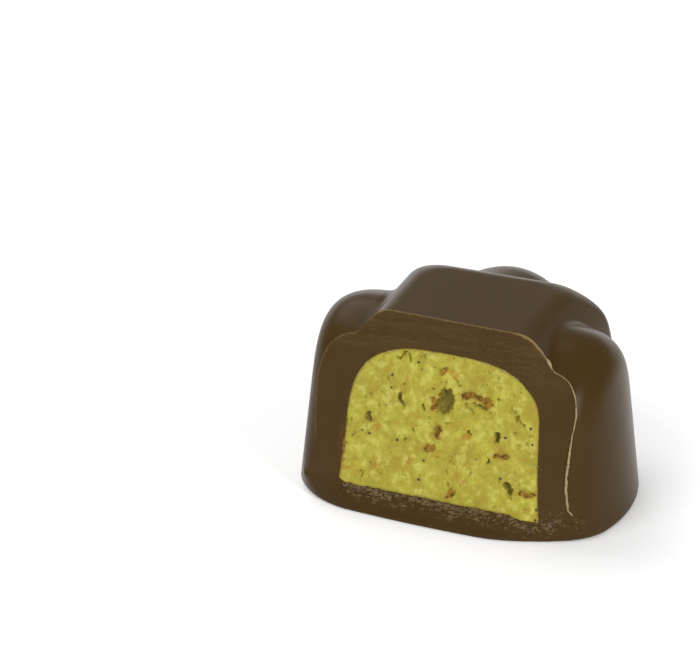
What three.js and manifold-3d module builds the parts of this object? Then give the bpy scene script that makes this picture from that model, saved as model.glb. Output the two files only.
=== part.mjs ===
// A moulded chocolate truffle, cut open. The mould gives a round tapered base, a square block
// with a flat top standing in it, and four arched lobes on the block's sides. A knife has taken
// the front away, and shows the paste filling inside the chocolate shell.
//
// Millimetres, +Z up. The origin is on the mould's axis, in the plane of the base.
// +Y points into the piece, away from the cut, and +X runs along the cut.
import * as THREE from 'three';
import { mergeVertices } from 'three/addons/utils/BufferGeometryUtils.js';
import Module from 'manifold-3d';

const wasm = await Module();
wasm.setup();

// ---- Driving sizes of the mould ---------------------------------------------------------

const HEIGHT = 18.7;
const BASE_RADIUS = 15.85;
const WALL_DRAFT = THREE.MathUtils.degToRad(6);
const BASE_BAND = 2.65;          // height of the plain round band under the lobes
const BASE_FILLET = 0.6;
const MOULD_TURN = THREE.MathUtils.degToRad(-3);   // the block and lobes sit a little askew

const BLOCK_TOP = 7.24;          // half side of the block's flat top
const BLOCK_FOOT = 10.95;        // half side of the block where it meets the band
const BLOCK_SWELL = 5;           // power of the curve between the two
const BLOCK_EDGE = 0.7;          // rounding of the edges round the flat top
const BLOCK_CORNER = 0.55;       // rounding of the corner ridges low down
const BLOCK_CORNER_TOP = 2.0;    // and where they run into the flat top
const RIDGE_TRIM = 0.9;          // rounding where a ridge comes flush with the wall

const LOBE_WIDTH = 8;            // half width of a lobe
const LOBE_SPREAD = 0.1;         // how much a lobe widens for each millimetre down from its arch
const LOBE_FLARE = 0.06;         // and it flares more near the foot
const LOBE_FLARE_TOP = 6.5;
const LOBE_FALL = 0.1;           // how much its crown falls for each millimetre outwards
const LOBE_FALL_START = 9;
const LOBE_DROP = 1.1;           // from the flat top down to a lobe's crown
const CROWN_TILT = 0.015;        // the crowns on the left stand a little higher
const LOBE_ARCH_POWER = 1.95;    // 2 is a round arch, less is a more pointed one
const LOBE_PILLOW = 2.4;         // rounding of a lobe's shoulders low down
const LOBE_PILLOW_TOP = 3.4;     // and at its crown
const CREASE = 0.35;             // rounding in the crease between lobe and block
const LEDGE_EDGE = 0.5;          // rounding along the top edge of the band
const LEDGE_CREASE = 0.3;        // rounding in the corner over the band

// ---- The cut ----------------------------------------------------------------------------

const CUT_TOP_Y = -4.3;          // where the knife went in, at the middle of the flat top
const CUT_YAW = -0.09;           // the cut runs slightly askew to the block
const CUT_LEAN = 0.285;          // and leans out towards the foot
const TWIST = 0.46;              // the right end of the cut bends back, most at the foot
const TWIST_START = 4;
const TWIST_EASE = 6;
const TWIST_POWER = 2.8;
const CURL = 0.65;               // and bends back again where it leaves the block for the lobe
const CURL_START = 7;
const CURL_END = 9.6;
const CURL_LOW = 10.5;
const CURL_HIGH = 15;
const SWING = 0.03;              // the left end swings forward high up
const SWING_LOW = 5;
const SWING_HIGH = 11;
const HEEL = 0.07;               // and bends back at the foot
const HEEL_HEIGHT = 4;
const LEFT_START = 9;
const BREAK_HEIGHT = 2.35;       // below this the base was snapped, not cut
const BREAK_DIP = 0.7;           // the line of the break dips this much at one place
const BREAK_DIP_X = 8.8;
const BREAK_DIP_REACH = 3.2;
const BREAK_STEP = 0.2;          // the snapped band stands this far proud of the cut
const BREAK_BELLY = 0.3;         // and swells this much at the middle
const BREAK_WIDTH = 11;          // half the width over which it stands out and swells
const BREAK_ROUNDING = 2.4;      // rounding of the band's upright corners at the foot
const BREAK_ROUNDING_TOP = 0.05; // and at the break

// ---- The filling ------------------------------------------------------------------------

const CUP_RADIUS = 13.45;        // radius of the hollow, carried down to the base plane
const CUP_TAPER = 0.19;          // how much it narrows for each millimetre up
const CUP_TOP = 15.75;
const CUP_FLOOR = 2.45;          // it dips where the line of the break does
const CUP_SHOULDER = 6;
const CUP_HEEL = 0.3;            // rounding where the hollow's wall meets its floor
const CUP_OFFSET_X = 0;
const FILLING_GAP = 0.3;

// Holes torn in the cut paste: [x, height, radius, depth].
const HOLES = [
  [-0.7, 11.6, 0.75, 0.9],
  [-4.85, 10.8, 0.5, 0.5],
  [4.7, 9.1, 0.45, 0.6],
  [6.35, 4.5, 0.5, 0.7],
  [-7.85, 8.7, 0.45, 0.4],
  [6.5, 11.2, 0.6, 0.35],
];
// Flakes that stand proud of it: [x, height, half length, half width, rise, turn in degrees].
const FLAKES = [
  [-1.5, 11.1, 0.9, 0.4, 0.35, 75],
  [2.9, 12.3, 1.1, 0.45, 0.35, 10],
  [-1.0, 8.6, 0.7, 0.35, 0.25, 60],
  [-1.6, 7.0, 0.5, 0.4, 0.25, 20],
  [8.2, 4.5, 0.8, 0.35, 0.3, 5],
  [5.3, 7.7, 0.8, 0.6, 0.2, 0],
];
const CRUMB = 0.12;              // unevenness of the cut paste

// ---- How finely the surfaces are drawn --------------------------------------------------

const BREAK_TOP = 2.5;           // the band is drawn snapped up to here, and the knife goes lower
const WALL_TOP = 13;             // the wall is drawn ring by ring up to here, then as a fan
const FAR = 24;                  // beyond every surface, measured from the axis
const CUT_STEP_X = 40;
const CUT_STEP_Z = 26;
const PASTE_STEP_X = 48;
const PASTE_STEP_Z = 34;

const clamp = THREE.MathUtils.clamp;
const lerp = THREE.MathUtils.lerp;
const degrees = THREE.MathUtils.degToRad;

// Larger of two fields, with the edge between them rounded over a width k.
function roundedMax(a, b, k) {
  const near = Math.max(k - Math.abs(a - b), 0);
  return Math.max(a, b) + (near * near) / (4 * k);
}

// Smaller of two fields, with the corner between them filled over a width k.
function filledMin(a, b, k) {
  const near = Math.max(k - Math.abs(a - b), 0);
  return Math.min(a, b) - (near * near) / (4 * k);
}

// ---- The mould, as a field that is negative inside the chocolate ------------------------

function wallField(x, y, z) {
  const radius = BASE_RADIUS - z * Math.tan(WALL_DRAFT);
  return (Math.hypot(x, y) - radius) * Math.cos(WALL_DRAFT);
}

// Share of the way from the band up to the flat top.
function rise(z) {
  return (z - BASE_BAND) / (HEIGHT - BASE_BAND);
}

function blockHalfSide(z) {
  const t = rise(z);
  const curve = clamp(t, 0, 1) ** BLOCK_SWELL + Math.max(t - 1, 0) * BLOCK_SWELL;
  return BLOCK_FOOT - (BLOCK_FOOT - BLOCK_TOP) * curve;
}

function blockField(x, y, z) {
  const step = 0.05;
  const slope = (blockHalfSide(z - step) - blockHalfSide(z + step)) / (2 * step);
  const flatten = 1 / Math.hypot(1, slope);
  const half = blockHalfSide(z);
  const ridge = lerp(BLOCK_CORNER, BLOCK_CORNER_TOP, clamp(rise(z), 0, 1) ** 4);
  const sides = roundedMax((Math.abs(x) - half) * flatten, (Math.abs(y) - half) * flatten, ridge);
  const capped = roundedMax(sides, z - HEIGHT, BLOCK_EDGE);
  return roundedMax(capped, wallField(x, y, z), RIDGE_TRIM);
}

// An arch standing on a side of the block: out is the distance from the mould's axis towards
// that side, and across is the distance from the arch's middle.
function lobeField(out, across, x, y, z) {
  const spring = HEIGHT - LOBE_DROP - LOBE_WIDTH - CROWN_TILT * x;
  const n = LOBE_ARCH_POWER;
  const radius = (Math.abs(across) ** n + Math.max(z - spring, 0) ** n) ** (1 / n);
  const fall = LOBE_FALL * Math.max(Math.abs(out) - LOBE_FALL_START, 0);
  const flare = LOBE_FLARE * Math.max(LOBE_FLARE_TOP - z, 0) ** 2;
  const spread = LOBE_SPREAD * Math.max(spring - z, 0) + flare;
  const share = clamp((z - spring + 2) / (LOBE_WIDTH + 2), 0, 1);
  const pillow = lerp(LOBE_PILLOW, LOBE_PILLOW_TOP, share);
  return roundedMax(radius - LOBE_WIDTH + fall - spread, wallField(x, y, z), pillow);
}

function mouldField(x, y, z) {
  const u = x * Math.cos(MOULD_TURN) + y * Math.sin(MOULD_TURN);
  const v = y * Math.cos(MOULD_TURN) - x * Math.sin(MOULD_TURN);
  const wall = wallField(x, y, z);
  const lobes = Math.min(lobeField(u, v, u, v, z), lobeField(v, u, u, v, z));
  const body = filledMin(blockField(u, v, z), lobes, CREASE);
  const band = roundedMax(wall, z - BASE_BAND, LEDGE_EDGE);
  return Math.max(filledMin(body, band, LEDGE_CREASE), wall);
}

// ---- The cut surface --------------------------------------------------------------------

// A smooth mound, 1 at its middle and 0 from its edge outwards.
function mound(distance) {
  const t = clamp(1 - distance * distance, 0, 1);
  return t * t;
}

function shareOf(value, low, high) {
  return clamp((value - low) / (high - low), 0, 1);
}

function cutY(x, z) {
  const plane = CUT_TOP_Y + CUT_YAW * x - CUT_LEAN * (HEIGHT - z);
  const right = Math.max(x - TWIST_START, 0);
  const low = clamp(1 - z / HEIGHT, 0, 1) ** TWIST_POWER;
  const twist = TWIST * low * (right * right) / (right + TWIST_EASE);
  const edge = shareOf(x, CURL_START, CURL_END);
  const curl = CURL * shareOf(z, CURL_LOW, CURL_HIGH) * edge * edge * (3 - 2 * edge);
  const left = Math.max(-x - LEFT_START, 0);
  const bend = HEEL * clamp(1 - z / HEEL_HEIGHT, 0, 1) - SWING * shareOf(z, SWING_LOW, SWING_HIGH);
  return plane + twist + curl + bend * left * left;
}

function breakDip(x) {
  return BREAK_DIP * mound((x - BREAK_DIP_X) / BREAK_DIP_REACH);
}

// The snapped band stands out from the cut, and its upright corners are worn round.
function bandField(x, y, z) {
  const height = clamp(z / BREAK_HEIGHT, 0, 1);
  const middle = clamp(1 - (x / BREAK_WIDTH) ** 2, 0, 1);
  const face = cutY(x, z) - (BREAK_STEP + BREAK_BELLY * (1 - height)) * middle;
  const lean = Math.hypot(1, CUT_YAW, CUT_LEAN);
  const rounding = lerp(BREAK_ROUNDING, BREAK_ROUNDING_TOP, height);
  return roundedMax(mouldField(x, y, z), (face - y) / lean, rounding);
}

// What leaves the mould, with the band already snapped off square under the cut.
function pieceField(x, y, z) {
  const body = z < BREAK_TOP ? bandField(x, y, z) : mouldField(x, y, z);
  return roundedMax(body, -z, BASE_FILLET);
}

// The hollow for the filling, drawn in by gap on every side.
function cupField(x, y, z, gap) {
  const radius = CUP_RADIUS - CUP_TAPER * z - gap;
  const wall = Math.hypot(x - CUP_OFFSET_X, y) - radius;
  const shoulder = roundedMax(wall, z - (CUP_TOP - gap), CUP_SHOULDER);
  return roundedMax(shoulder, CUP_FLOOR - breakDip(x) + gap - z, CUP_HEEL);
}

// ---- Closed meshes ----------------------------------------------------------------------

// Distance along a ray from the axis to the surface of a field.
function reach(field, azimuth, origin, tilt) {
  const out = Math.cos(tilt);
  const up = Math.sin(tilt);
  let inside = 0;
  let outside = FAR;
  for (let i = 0; i < 44; i++) {
    const middle = (inside + outside) / 2;
    const r = middle * out;
    const value = field(r * Math.cos(azimuth), r * Math.sin(azimuth), origin + middle * up);
    if (value < 0) inside = middle;
    else outside = middle;
  }
  return inside;
}

// A closed skin round the axis. Each ring is [height of its rays' start, their tilt upwards].
function skin(field, rings, azimuths) {
  const points = [];
  const faces = [];
  const columns = azimuths.length;
  for (const [origin, tilt] of rings) {
    for (const azimuth of azimuths) {
      const t = reach(field, azimuth, origin, tilt);
      const r = t * Math.cos(tilt);
      points.push(r * Math.cos(azimuth), r * Math.sin(azimuth), origin + t * Math.sin(tilt));
    }
  }
  const foot = points.length / 3;
  const firstStart = rings[0][0];
  const lastStart = rings[rings.length - 1][0];
  points.push(0, 0, firstStart - reach(field, 0, firstStart, -Math.PI / 2));
  points.push(0, 0, lastStart + reach(field, 0, lastStart, Math.PI / 2));
  for (let j = 0; j < columns; j++) {
    const next = (j + 1) % columns;
    faces.push(foot, next, j);
    for (let i = 0; i + 1 < rings.length; i++) {
      const a = i * columns + j;
      const b = i * columns + next;
      faces.push(a, b, b + columns, a, b + columns, a + columns);
    }
    const last = (rings.length - 1) * columns;
    faces.push(foot + 1, last + j, last + next);
  }
  return solid(points, faces);
}

// Everything in front of a surface y = front(x, z), between the given limits. The lower edge
// rises and falls with x, as limits.low(x).
function knife(front, limits, stepsX, stepsZ) {
  const points = [];
  const faces = [];
  const wide = stepsX + 1;
  const layer = wide * (stepsZ + 1);
  for (const far of [false, true]) {
    for (let k = 0; k <= stepsZ; k++) {
      for (let i = 0; i <= stepsX; i++) {
        const x = lerp(limits.left, limits.right, i / stepsX);
        const z = lerp(limits.low(x), limits.high, k / stepsZ);
        points.push(x, far ? -2 * FAR : front(x, z), z);
      }
    }
  }
  const quad = (a, b, c, d) => faces.push(a, b, c, a, c, d);
  for (let k = 0; k < stepsZ; k++) {
    for (let i = 0; i < stepsX; i++) {
      const a = k * wide + i;
      quad(a, a + wide, a + wide + 1, a + 1);
      quad(layer + a, layer + a + 1, layer + a + wide + 1, layer + a + wide);
    }
    const left = k * wide;
    const right = left + stepsX;
    quad(left, layer + left, layer + left + wide, left + wide);
    quad(right, right + wide, layer + right + wide, layer + right);
  }
  const top = stepsZ * wide;
  for (let i = 0; i < stepsX; i++) {
    quad(i, i + 1, layer + i + 1, layer + i);
    quad(top + i, layer + top + i, layer + top + i + 1, top + i + 1);
  }
  return solid(points, faces);
}

function solid(points, faces) {
  const geometry = new THREE.BufferGeometry();
  geometry.setAttribute('position', new THREE.Float32BufferAttribute(points, 3));
  geometry.setIndex(faces);
  const merged = mergeVertices(geometry, 1e-5);
  return new wasm.Manifold(new wasm.Mesh({
    numProp: 3,
    vertProperties: merged.attributes.position.array,
    triVerts: new Uint32Array(merged.index.array),
  }));
}

function meshOf(name, shape, colour, roughness) {
  const { vertProperties, triVerts } = shape.getMesh();
  const geometry = new THREE.BufferGeometry();
  geometry.setAttribute('position', new THREE.BufferAttribute(vertProperties, 3));
  geometry.setIndex(new THREE.BufferAttribute(triVerts, 1));
  geometry.computeVertexNormals();
  const material = new THREE.MeshStandardMaterial({ color: colour, roughness, metalness: 0 });
  const mesh = new THREE.Mesh(geometry, material);
  mesh.name = name;
  return mesh;
}

// ---- Rings and columns ------------------------------------------------------------------

// One eighth of the mould's columns: the lobe's face, its shoulder, the groove and the ridge.
const EIGHTH = [0, 6, 12, 17, 21, 24, 26.5, 29, 31.5, 34, 36.2, 38.5, 41, 43.3, 45];

function mouldAzimuths() {
  const quarter = [...EIGHTH, ...EIGHTH.slice(1, -1).reverse().map((a) => 90 - a)];
  const turns = [0, 90, 180, 270];
  return turns.flatMap((turn) => quarter.map((a) => MOULD_TURN + degrees(turn + a)));
}

function mouldRings() {
  const level = (z) => [z, 0];
  const fan = (origin, tilts) => tilts.map((t) => [origin, degrees(t)]);
  return [
    ...fan(0.8, [-3, -2.4, -1.2]),
    ...[0.8, 1.6, 2.2, 2.48, 2.52, 2.6, 2.68, 2.8, 4.5, 6.5, 8.5, 10, 11.5].map(level),
    ...fan(WALL_TOP, [0, 4, 8, 11, 14, 17, 19, 21, 23, 25, 27, 29, 32, 35, 38, 42, 48]),
  ];
}

function cupRings() {
  const fan = (origin, tilts) => tilts.map((t) => [origin, degrees(t)]);
  return [
    ...fan(4, [-9, -7, -4, 0]),
    [7, 0],
    [9.5, 0],
    ...fan(10, [4, 10, 16, 22, 28, 35, 42, 52]),
  ];
}

function evenAzimuths(count) {
  return Array.from({ length: count }, (_, i) => (2 * Math.PI * i) / count);
}

// ---- The torn front of the paste --------------------------------------------------------

// Slow waves that stand for the crumbly surface, from -1 to 1.
function crumble(x, z) {
  const a = Math.sin(2.9 * x + 1.7 * z) * Math.sin(2.3 * z - 1.1 * x + 0.6);
  const b = Math.sin(5.1 * x - 2.2 * z + 1.3) * Math.sin(4.7 * z + 0.8 * x);
  return 0.6 * a + 0.4 * b;
}

function pasteFrontY(x, z) {
  let y = cutY(x, z) + CRUMB * crumble(x, z);
  for (const [hx, hz, radius, depth] of HOLES) {
    y += depth * mound(Math.hypot(x - hx, z - hz) / (1.4 * radius));
  }
  for (const [fx, fz, length, width, proud, turn] of FLAKES) {
    const c = Math.cos(degrees(turn));
    const s = Math.sin(degrees(turn));
    const along = ((x - fx) * c + (z - fz) * s) / length;
    const across = ((z - fz) * c - (x - fx) * s) / width;
    y -= proud * mound(Math.hypot(along, across) / 1.3);
  }
  return y;
}

// ---- The two pieces ---------------------------------------------------------------------

function chocolateShell() {
  const moulded = skin(pieceField, mouldRings(), mouldAzimuths());
  const hollow = skin((x, y, z) => cupField(x, y, z, 0), cupRings(), evenAzimuths(56));
  const breakLine = (x) => BREAK_HEIGHT - breakDip(x);
  const above = { left: -20, right: 20, low: breakLine, high: HEIGHT + 2 };
  const cut = knife(cutY, above, CUT_STEP_X, CUT_STEP_Z);
  return moulded.subtract(hollow).subtract(cut);
}

function truffleFilling() {
  const pressed = skin((x, y, z) => cupField(x, y, z, FILLING_GAP), cupRings(), evenAzimuths(56));
  const across = { left: -12, right: 12, low: () => 1, high: 17 };
  return pressed.subtract(knife(pasteFrontY, across, PASTE_STEP_X, PASTE_STEP_Z));
}

const truffle = new THREE.Group();
truffle.add(meshOf('chocolate_shell', chocolateShell(), 0x46351f, 0.4));
truffle.add(meshOf('truffle_filling', truffleFilling(), 0xbdb44e, 0.85));

export default truffle;
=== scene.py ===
# %% [markdown]
# # A moulded chocolate truffle, cut open
#
# This notebook dresses one sweet for a close photograph: a dark chocolate shell from a mould, cut
# through so that its yellow-green paste shows. The solids of the part are loaded first, as a frame
# that nothing moves. Every visible surface is then made finer round that frame.

import math

import bpy
import numpy as np
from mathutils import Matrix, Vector, noise


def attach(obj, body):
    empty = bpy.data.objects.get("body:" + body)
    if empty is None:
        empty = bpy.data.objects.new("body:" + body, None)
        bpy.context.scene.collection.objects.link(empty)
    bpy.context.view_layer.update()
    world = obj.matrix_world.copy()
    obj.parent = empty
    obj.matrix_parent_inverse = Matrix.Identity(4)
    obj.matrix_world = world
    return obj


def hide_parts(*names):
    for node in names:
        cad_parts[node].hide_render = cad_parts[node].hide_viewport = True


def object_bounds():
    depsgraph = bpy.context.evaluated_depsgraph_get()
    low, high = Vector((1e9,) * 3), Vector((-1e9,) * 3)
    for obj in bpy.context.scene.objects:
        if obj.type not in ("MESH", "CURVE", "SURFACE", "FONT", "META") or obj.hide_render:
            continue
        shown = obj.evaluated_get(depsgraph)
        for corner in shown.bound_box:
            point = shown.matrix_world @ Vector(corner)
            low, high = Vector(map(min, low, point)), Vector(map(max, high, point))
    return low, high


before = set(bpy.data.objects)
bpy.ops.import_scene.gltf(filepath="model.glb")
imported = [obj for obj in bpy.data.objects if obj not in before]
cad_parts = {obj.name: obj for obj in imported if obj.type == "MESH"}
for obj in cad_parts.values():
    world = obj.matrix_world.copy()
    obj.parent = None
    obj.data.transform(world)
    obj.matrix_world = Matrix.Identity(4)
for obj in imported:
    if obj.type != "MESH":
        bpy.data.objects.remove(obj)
cad_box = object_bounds()
MM = 0.001  # shapes are worked out in millimetres, and meshes are in metres
HEIGHT = cad_box[1].z / MM
print("solids:", sorted(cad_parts), "height in mm:", round(HEIGHT, 2))


def add_object(name, data):
    made = bpy.data.objects.new(name, data)
    bpy.context.scene.collection.objects.link(made)
    return made


# %% [markdown]
# ## Where the camera stands
#
# A sweet this small could be taken close up, but then its walls would lean apart. A long lens from
# half a metre away keeps them nearly parallel. The camera looks down on the sweet from the right
# of its cut face. It aims left of the sweet and behind it, because the picture that it follows has
# the sweet in its lower right part.

# %% Camera
PHOTO_WIDTH = 700  # pixels
FOCAL_LENGTH = 5000  # pixels
SENSOR_WIDTH = 36  # millimetres
CAMERA_TURN = math.radians(18.42)
CAMERA_RISE = math.radians(25.7)
CAMERA_DISTANCE = 0.4985  # metres, as is the point that it looks at
AIM = Vector((-0.0214, 0.0289, 0))

towards_camera = Vector((
    math.sin(CAMERA_TURN) * math.cos(CAMERA_RISE),
    -math.cos(CAMERA_TURN) * math.cos(CAMERA_RISE),
    math.sin(CAMERA_RISE),
))
lens = bpy.data.cameras.new("camera")
lens.sensor_width = SENSOR_WIDTH
lens.lens = SENSOR_WIDTH * FOCAL_LENGTH / PHOTO_WIDTH
camera = add_object("camera", lens)
camera.location = AIM + CAMERA_DISTANCE * towards_camera
camera.rotation_euler = (-towards_camera).to_track_quat("-Z", "Y").to_euler()
bpy.context.scene.camera = camera
print("camera at", [round(v, 3) for v in camera.location], "lens", round(lens.lens, 1), "mm")

# %% [markdown]
# ## A small language for node trees
#
# Finishes and scattered crumbs are both node trees, and a tree built call by call is hard to read.
# The node editor could draw them, but a script keeps every value in sight. One class wraps a
# socket, so that sums and products of sockets are written as such. Another wraps a tree, and one
# method of it adds any other node.

# %% Sockets that do arithmetic
class Value:
    """An output socket of a node tree. Arithmetic on it adds Math nodes to the tree."""

    def __init__(self, graph, socket):
        self.graph = graph
        self.socket = socket

    def math(self, operation, first, second):
        return self.graph.node("ShaderNodeMath", {"operation": operation}, [first, second])

    def __add__(self, other):
        return self.math("ADD", self, other)

    def __sub__(self, other):
        return self.math("SUBTRACT", self, other)

    def __rsub__(self, other):
        return self.math("SUBTRACT", other, self)

    def __mul__(self, other):
        return self.math("MULTIPLY", self, other)

    __radd__ = __add__
    __rmul__ = __mul__


class Graph:
    """A node tree, and the method that adds any node to it."""

    def __init__(self, tree):
        self.tree = tree

    def node(self, kind, settings=None, inputs=(), output=0):
        made = self.tree.nodes.new(kind)
        for name, value in (settings or {}).items():
            setattr(made, name, value)
        for key, value in inputs.items() if isinstance(inputs, dict) else enumerate(inputs):
            if isinstance(value, Value):
                self.tree.links.new(value.socket, made.inputs[key])
            else:
                made.inputs[key].default_value = value
        return Value(self, made.outputs[output])

    def scaled(self, vector, factor):
        return self.node("ShaderNodeVectorMath", {"operation": "SCALE"}, {0: vector, 3: factor})


print("a Value does sums, and a Graph adds nodes")


# %% Colours and masks
def linear_light(screen_value):
    """The light that a screen shows for a value from 0 to 255, by the sRGB curve."""
    v = screen_value / 255
    return v / 12.92 if v <= 0.04045 else ((v + 0.055) / 1.055) ** 2.4


def colour(red, green, blue):
    """A colour given as screen values from 0 to 255, as the linear values that a socket takes."""
    return (linear_light(red), linear_light(green), linear_light(blue), 1)


def mixed(mask, first, second):
    """The first colour where the mask is 0, and the second where it is 1."""
    colours = {0: mask, 6: first, 7: second}
    return mask.graph.node("ShaderNodeMix", {"data_type": "RGBA"}, colours, 2)


def ramp(value, low, high, from_value=0.0, to_value=1.0):
    """A soft step: from_value where value is at low, and to_value where it is at high."""
    settings = {"interpolation_type": "SMOOTHSTEP"}
    return value.graph.node("ShaderNodeMapRange", settings, [value, low, high, from_value, to_value])


print("128 on the screen is a light of", round(linear_light(128), 3))


# %% A finish
class Finish(Graph):
    """A material in the making. Its place is the Object coordinate in millimetres."""

    def __init__(self, name, **constants):
        self.material = bpy.data.materials.new(name)
        self.material.use_nodes = True
        super().__init__(self.material.node_tree)
        self.shader = self.tree.nodes["Principled BSDF"]
        for socket, value in constants.items():
            self.shader.inputs[socket.replace("_", " ")].default_value = value
        self.place = self.scaled(self.node("ShaderNodeTexCoord", output="Object"), 1 / MM)

    def noise(self, size, detail=2.0, roughness=0.5, place=None, distortion=0.0):
        """Cloudy noise from 0 to 1, with clouds about size millimetres wide."""
        inputs = {
            "Vector": place or self.place,
            "Scale": 1 / size,
            "Detail": detail,
            "Roughness": roughness,
            "Distortion": distortion,
        }
        return self.node("ShaderNodeTexNoise", {}, inputs)

    def attribute(self, name):
        return self.node("ShaderNodeAttribute", {"attribute_name": name}, output="Fac")

    def drive(self, socket, value):
        self.tree.links.new(value.socket, self.shader.inputs[socket])

    def relief(self, height, depth):
        """Bump from a height of 0 to 1, which stands for depth millimetres."""
        inputs = {"Height": height, "Distance": depth * MM}
        self.drive("Normal", self.node("ShaderNodeBump", {}, inputs, "Normal"))


print("finishes are measured in millimetres")

# %% [markdown]
# ## Floor and light
#
# The sweet stands on a white sweep that is lit until it burns out to plain white, so only the
# soft shadow at its foot tells where the floor is. Two soft lights stand at the front, left and
# right, and a wide one behind and to the left throws that shadow forwards. A picture of a studio
# could light it too, but lights of one's own can be moved. The room overhead stays dim and the
# backdrop bright, which gives chocolate its look: a pale rim on every edge that leans back, and
# a deep brown where it faces the room.

# %% Floor
FLOOR_HALF = 1.5  # metres
FLOOR_GLOW = 0.24
floor_corners = [(FLOOR_HALF * x, FLOOR_HALF * y, 0) for x, y in ((-1, -1), (1, -1), (1, 1), (-1, 1))]
floor_mesh = bpy.data.meshes.new("floor")
floor_mesh.from_pydata(floor_corners, [], [(0, 1, 2, 3)])
floor = add_object("floor", floor_mesh)
lit = {"Emission_Color": (1, 1, 1, 1), "Emission_Strength": FLOOR_GLOW}
white_sweep = Finish("white_sweep", Base_Color=colour(246, 246, 246), Roughness=0.9, **lit)
floor_mesh.materials.append(white_sweep.material)
print("floor:", 2 * FLOOR_HALF, "m wide")

# %% Lights
MIDDLE = Vector((0, 0, 0.5 * HEIGHT * MM))
SOFTBOXES = [  # name, azimuth, elevation, distance, width, height, power
    ("right_light", -38, 20, 0.6, 0.08, 0.24, 1.8),
    ("left_light", -118, 48, 0.7, 0.35, 0.35, 1.7),
    ("back_light", 140, 50, 0.7, 0.5, 0.5, 2.2),
]


def softbox(name, azimuth, elevation, distance, width, height, power):
    """An area light that faces the sweet: degrees, from +X towards +Y, and metres."""
    light = bpy.data.lights.new(name, "AREA")
    light.shape = "RECTANGLE"
    light.size = width
    light.size_y = height
    light.energy = power
    a, e = math.radians(azimuth), math.radians(elevation)
    away = Vector((math.cos(a) * math.cos(e), math.sin(a) * math.cos(e), math.sin(e)))
    lamp = add_object(name, light)
    lamp.location = MIDDLE + distance * away
    lamp.rotation_euler = away.to_track_quat("Z", "Y").to_euler()


for box in SOFTBOXES:
    softbox(*box)
print("soft lights:", [box[0] for box in SOFTBOXES])

# %% The room
ROOM_GLOW = 0.24
BACKDROP = (-0.26, 0.97, 0.0)  # the way to the middle of the bright backdrop
BACKDROP_EDGE = (0.50, 0.90)  # where it fades in, as the cosine of the angle from its middle
PANEL_GLOW, PANEL_TOP = 0.25, (0.72, 0.62)
HORIZON_GLOW, HORIZON_TOP = 1.8, (0.35, 0.04)
world = bpy.data.worlds.new("room")
world.use_nodes = True
bpy.context.scene.world = world
room = Graph(world.node_tree)
heading = room.node("ShaderNodeTexCoord", output="Generated")
behind = room.node("ShaderNodeVectorMath", {"operation": "DOT_PRODUCT"}, {0: heading, 1: BACKDROP}, "Value")
upward = room.node("ShaderNodeSeparateXYZ", {}, [heading], "Z")
panel = PANEL_GLOW * ramp(upward, *PANEL_TOP)
horizon = HORIZON_GLOW * ramp(upward, *HORIZON_TOP)
background = world.node_tree.nodes["Background"]
strength = ROOM_GLOW + ramp(behind, *BACKDROP_EDGE) * (panel + horizon)
world.node_tree.links.new(strength.socket, background.inputs["Strength"])
background.inputs["Color"].default_value = (1, 1, 1, 1)
bpy.context.scene.view_settings.view_transform = "Standard"
print("a dim room and a bright backdrop")

# %% [markdown]
# ## The mould as a field
#
# The shell's form is a rule: a round tapered base, a square block that stands in it, and four
# arches on the block's sides. A field says for any point how far outside the chocolate it lies,
# and is negative inside. Such a form could be sculpted too, but its creases would wander. Fields
# join exactly: a smooth maximum rounds an outer edge, and a smooth minimum fills a crease. These
# are the same rules and sizes that the solids of the part have.

# %% Smooth joins
def rounded_max(a, b, k):
    """The larger of two distances, with a rounding of about k where they are alike."""
    near = np.maximum(k - np.abs(a - b), 0)
    return np.maximum(a, b) + near * near / (4 * k)


def filled_min(a, b, k):
    """The smaller of two distances, with a fillet of about k where they are alike."""
    near = np.maximum(k - np.abs(a - b), 0)
    return np.minimum(a, b) - near * near / (4 * k)


def share(value, low, high):
    """How far value has come from low to high, between 0 and 1."""
    return np.clip((value - low) / (high - low), 0, 1)


def soft_share(value, low, high):
    """The same, but it starts and ends softly."""
    s = share(value, low, high)
    return s * s * (3 - 2 * s)


def mound(distance):
    """1 at its middle, and 0 from a distance of 1 outwards."""
    return np.clip(1 - distance ** 2, 0, 1) ** 2


print("a rounding of 1 takes", rounded_max(0.0, 0.0, 1.0), "off an edge")

# %% The wall, the block and the arches: lengths in millimetres
BASE_RADIUS = 15.85
WALL_DRAFT = math.radians(6)
BASE_BAND = 2.65  # height of the plain round band under the arches
BASE_FILLET = 0.6
MOULD_TURN = math.radians(-3)  # the block and the arches sit a little askew
BLOCK_TOP, BLOCK_FOOT, BLOCK_SWELL = 7.24, 10.95, 5.0
BLOCK_EDGE, RIDGE_TRIM = 0.7, 0.9
BLOCK_CORNER, BLOCK_CORNER_TOP, BLOCK_CORNER_POWER = 0.55, 2.0, 4
SLOPE_STEP = 0.05
LOBE_WIDTH, LOBE_DROP, LOBE_ARCH_POWER = 8.0, 1.1, 1.95
LOBE_SPREAD, LOBE_FALL, LOBE_FALL_START, CROWN_TILT = 0.1, 0.1, 9.0, 0.015
LOBE_FLARE, LOBE_FLARE_TOP = 0.06, 6.5
LOBE_PILLOW, LOBE_PILLOW_TOP, LOBE_PILLOW_START = 2.4, 3.4, 2.0
CREASE, LEDGE_EDGE, LEDGE_CREASE = 0.35, 0.5, 0.3


def wall_field(x, y, z):
    return (np.hypot(x, y) - (BASE_RADIUS - z * math.tan(WALL_DRAFT))) * math.cos(WALL_DRAFT)


def block_half_side(z):
    t = (z - BASE_BAND) / (HEIGHT - BASE_BAND)
    curve = np.clip(t, 0, 1) ** BLOCK_SWELL + np.maximum(t - 1, 0) * BLOCK_SWELL
    return BLOCK_FOOT - (BLOCK_FOOT - BLOCK_TOP) * curve


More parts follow.
